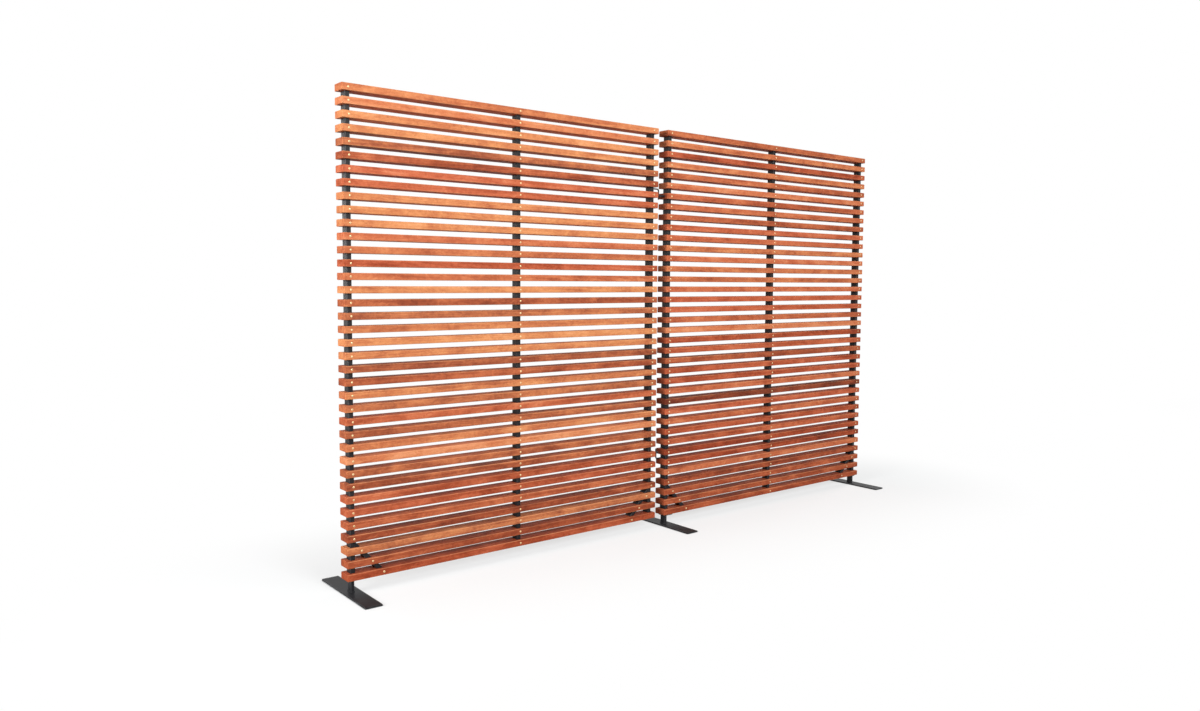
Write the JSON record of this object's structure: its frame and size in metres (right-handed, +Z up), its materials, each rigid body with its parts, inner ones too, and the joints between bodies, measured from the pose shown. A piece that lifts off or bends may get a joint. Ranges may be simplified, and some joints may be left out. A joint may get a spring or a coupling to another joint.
{
  "type": "garden privacy screen",
  "caption": "Free-standing slatted timber screen: two panels on steel posts with flat feet, joined by hooks and eyes so that one panel swings.",
  "frame": {"origin": "on the floor, on the swing axis of the hooks and eyes, which is the middle of the object's width and depth", "axes": "+X along the screen from the left panel to the right panel as seen from the front, the fronts of the slats face -Y, +Z up"},
  "size_m": [3.12, 0.406, 1.8804],
  "materials": {
    "slat_wood": "oiled reddish-brown hardwood, satin, each slat a little different",
    "frame_steel": "satin black powder coat",
    "screw_brass": "yellow zinc plated screw heads, satin"
  },
  "bodies": {
    "right_panel": {"right_slat_01": "slat_wood", "right_slat_03": "slat_wood", "right_slat_05": "slat_wood", "right_slat_07": "slat_wood", "right_slat_09": "slat_wood", "right_slat_11": "slat_wood", "right_slat_13": "slat_wood", "right_slat_15": "slat_wood", "right_slat_17": "slat_wood", "right_slat_19": "slat_wood", "right_slat_21": "slat_wood", "right_slat_23": "slat_wood", "right_slat_25": "slat_wood", "right_slat_27": "slat_wood", "right_slat_29": "slat_wood", "right_slat_31": "slat_wood", "right_slat_33": "slat_wood", "right_slat_35": "slat_wood", "right_slat_37": "slat_wood", "right_middle_post_with_slats": "slat_wood", "right_inner_post": "frame_steel", "right_outer_post": "frame_steel", "right_inner_brace": "frame_steel", "right_outer_brace": "frame_steel", "right_inner_foot_plate": "frame_steel", "right_inner_foot_upright": "frame_steel", "right_outer_foot_plate": "frame_steel", "right_outer_foot_upright": "frame_steel", "right_inner_stop_plate": "frame_steel", "right_outer_stop_plate": "frame_steel", "upper_eye": "frame_steel", "lower_hook": "frame_steel"},
    "left_panel": {"left_slat_01": "slat_wood", "left_slat_03": "slat_wood", "left_slat_05": "slat_wood", "left_slat_07": "slat_wood", "left_slat_09": "slat_wood", "left_slat_11": "slat_wood", "left_slat_13": "slat_wood", "left_slat_15": "slat_wood", "left_slat_17": "slat_wood", "left_slat_19": "slat_wood", "left_slat_21": "slat_wood", "left_slat_23": "slat_wood", "left_slat_25": "slat_wood", "left_slat_27": "slat_wood", "left_slat_29": "slat_wood", "left_slat_31": "slat_wood", "left_slat_33": "slat_wood", "left_slat_35": "slat_wood", "left_slat_37": "slat_wood", "left_middle_post_with_slats": "slat_wood", "left_outer_post": "frame_steel", "left_inner_post": "frame_steel", "left_outer_brace": "frame_steel", "left_inner_brace": "frame_steel", "left_outer_foot_plate": "frame_steel", "left_outer_foot_upright": "frame_steel", "upper_hook": "frame_steel", "lower_eye": "frame_steel"}
  },
  "joints": [
    {"name": "panel_swing", "type": "hinge", "parent": "right_panel", "child": "left_panel", "pos_m": [0, 0, 1], "axis": [0, 0, 1], "range_deg": [-82, 82]}
  ]
}
